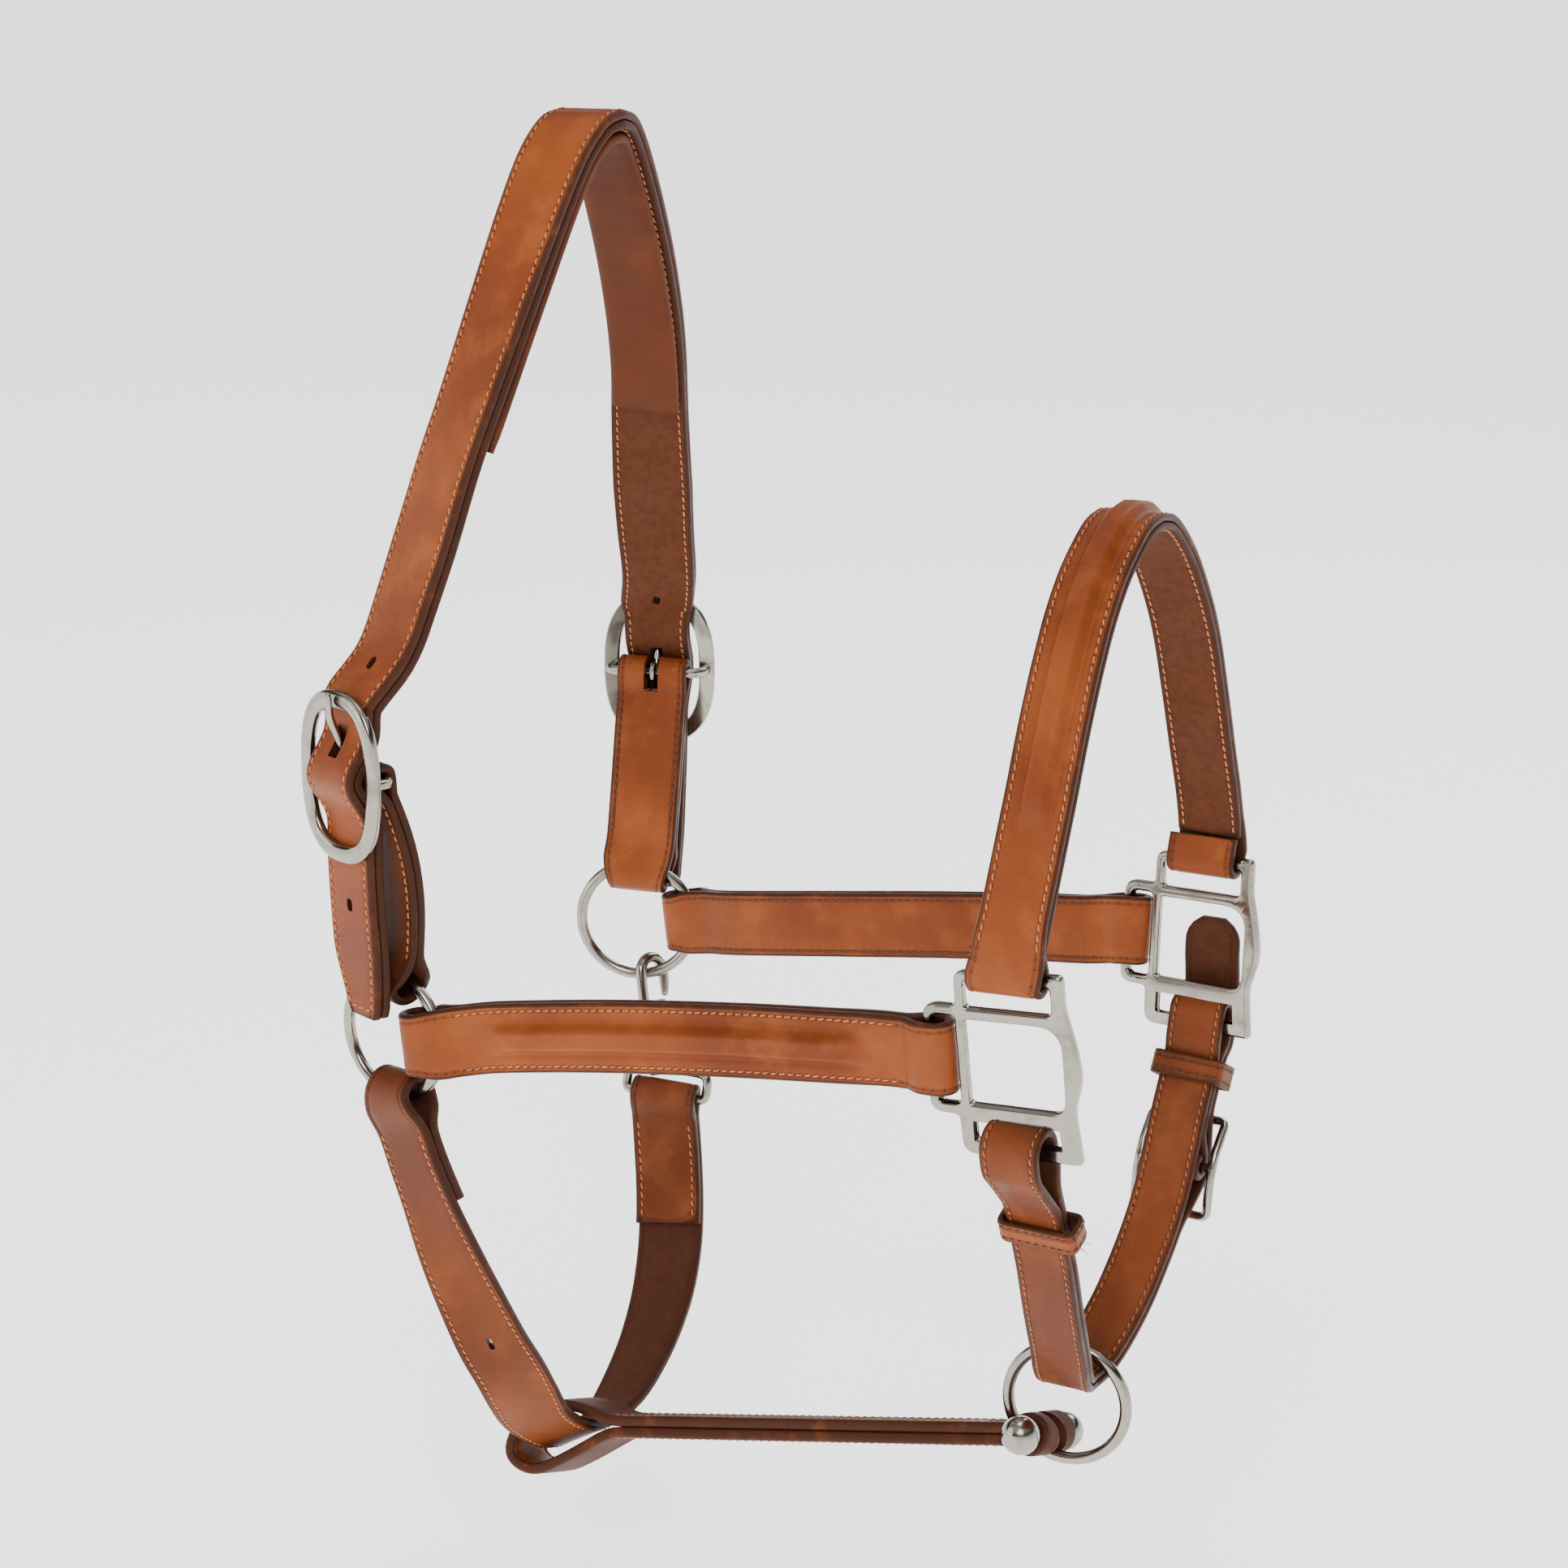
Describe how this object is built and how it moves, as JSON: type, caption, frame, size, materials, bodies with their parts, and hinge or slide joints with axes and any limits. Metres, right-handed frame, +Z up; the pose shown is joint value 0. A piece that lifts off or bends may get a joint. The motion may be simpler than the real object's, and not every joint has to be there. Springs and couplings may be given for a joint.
{
  "type": "leather headcollar",
  "caption": "Stable headcollar in raised, stitched leather with buckled crown, padded poll, rope-cored noseband, chin strap run through squares, and a snap-fastened throat strap.",
  "frame": {"origin": "underside of the poll pad at the poll, where the headcollar rests on the horse's head", "axes": "+X forward to the nose, +Y to the horse's left (near side), +Z up"},
  "size_m": [0.2939, 0.228, 0.5233],
  "materials": {
    "leather": "tan harness leather with fine grain, dark burnished edges and light stitching",
    "leather_soft": "soft brown leather, flesh side outward on the inside of the crown",
    "leather_dark": "narrow leather loops, darker and well handled",
    "foam": "thin felted padding, hidden inside the poll pad",
    "cord": "twisted filler cord, hidden under the raised leather",
    "nickel": "worn nickel plate, slightly warm, with fine scratches",
    "steel": "plain spring wire, hidden in the snap"
  },
  "bodies": {
    "headcollar": {"crown_strap": "leather", "crown_lining": "leather", "off_chape": "leather", "near_chape": "leather", "off_cheek_strap": "leather", "near_cheek_strap": "leather", "noseband_strap": "leather", "noseband_lining": "leather", "chin_strap": "leather", "joining_strap": "leather", "throat_strap": "leather", "poll_pad_cover": "leather_soft", "poll_pad_foam": "foam", "off_cheek_core": "cord", "near_cheek_core": "cord", "noseband_core": "cord", "off_buckle_frame": "nickel", "near_buckle_frame": "nickel", "off_square": "nickel", "near_square": "nickel", "chin_buckle_frame": "nickel", "chin_bolt": "nickel", "snap_hook": "nickel", "snap_gate_pin": "nickel", "snap_spring": "steel"},
    "off_buckle_tongue": {"off_buckle_tongue": "nickel"},
    "near_buckle_tongue": {"near_buckle_tongue": "nickel"},
    "chin_buckle_tongue": {"chin_buckle_tongue": "nickel"},
    "off_ring": {"off_ring": "nickel"},
    "near_ring": {"near_ring": "nickel"},
    "chin_ring": {"chin_ring": "nickel"},
    "snap_gate": {"snap_gate": "nickel"},
    "off_chin_keeper": {"off_chin_keeper": "leather_dark"},
    "near_chin_keeper": {"near_chin_keeper": "leather_dark"}
  },
  "joints": [
    {"name": "off_tongue_lift", "type": "hinge", "parent": "headcollar", "child": "off_buckle_tongue", "pos_m": [-0.03744, -0.09614, -0.2124], "axis": [0.9511, -0.309, 0], "range_deg": [0, 12]},
    {"name": "near_tongue_lift", "type": "hinge", "parent": "headcollar", "child": "near_buckle_tongue", "pos_m": [-0.03715, 0.09624, -0.2124], "axis": [-0.9511, -0.309, 0], "range_deg": [0, 12]},
    {"name": "chin_tongue_lift", "type": "hinge", "parent": "headcollar", "child": "chin_buckle_tongue", "pos_m": [0.2089, 0.0583, -0.3606], "axis": [0.9997, -0.0093, -0.0212], "range_deg": [0, 12]},
    {"name": "off_ring_turn", "type": "hinge", "parent": "headcollar", "child": "off_ring", "pos_m": [-0.0372, -0.0815, -0.3124], "axis": [-0.1392, -0.9903, 0], "continuous": true},
    {"name": "near_ring_turn", "type": "hinge", "parent": "headcollar", "child": "near_ring", "pos_m": [-0.0372, 0.0815, -0.3117], "axis": [-0.342, 0.9397, 0], "continuous": true},
    {"name": "chin_ring_turn", "type": "hinge", "parent": "headcollar", "child": "chin_ring", "pos_m": [0.1945, 0, -0.4352], "axis": [-0.1564, 0.9877, 0], "continuous": true},
    {"name": "snap_gate_open", "type": "hinge", "parent": "headcollar", "child": "snap_gate", "pos_m": [-0.02198, 0.07795, -0.36731], "axis": [0.9326, -0.1982, 0.3015], "range_deg": [0, 16], "stiffness_Nm_per_rad": 0.02, "springref_deg": -17.19},
    {"name": "off_keeper_slide", "type": "slide", "parent": "headcollar", "child": "off_chin_keeper", "axis": [0.0155, -0.4273, 0.904], "range_m": [-0.006, 0.003]},
    {"name": "near_keeper_slide", "type": "slide", "parent": "headcollar", "child": "near_chin_keeper", "axis": [0.0341, 0.4577, 0.8885], "range_m": [-0.006, 0]}
  ]
}
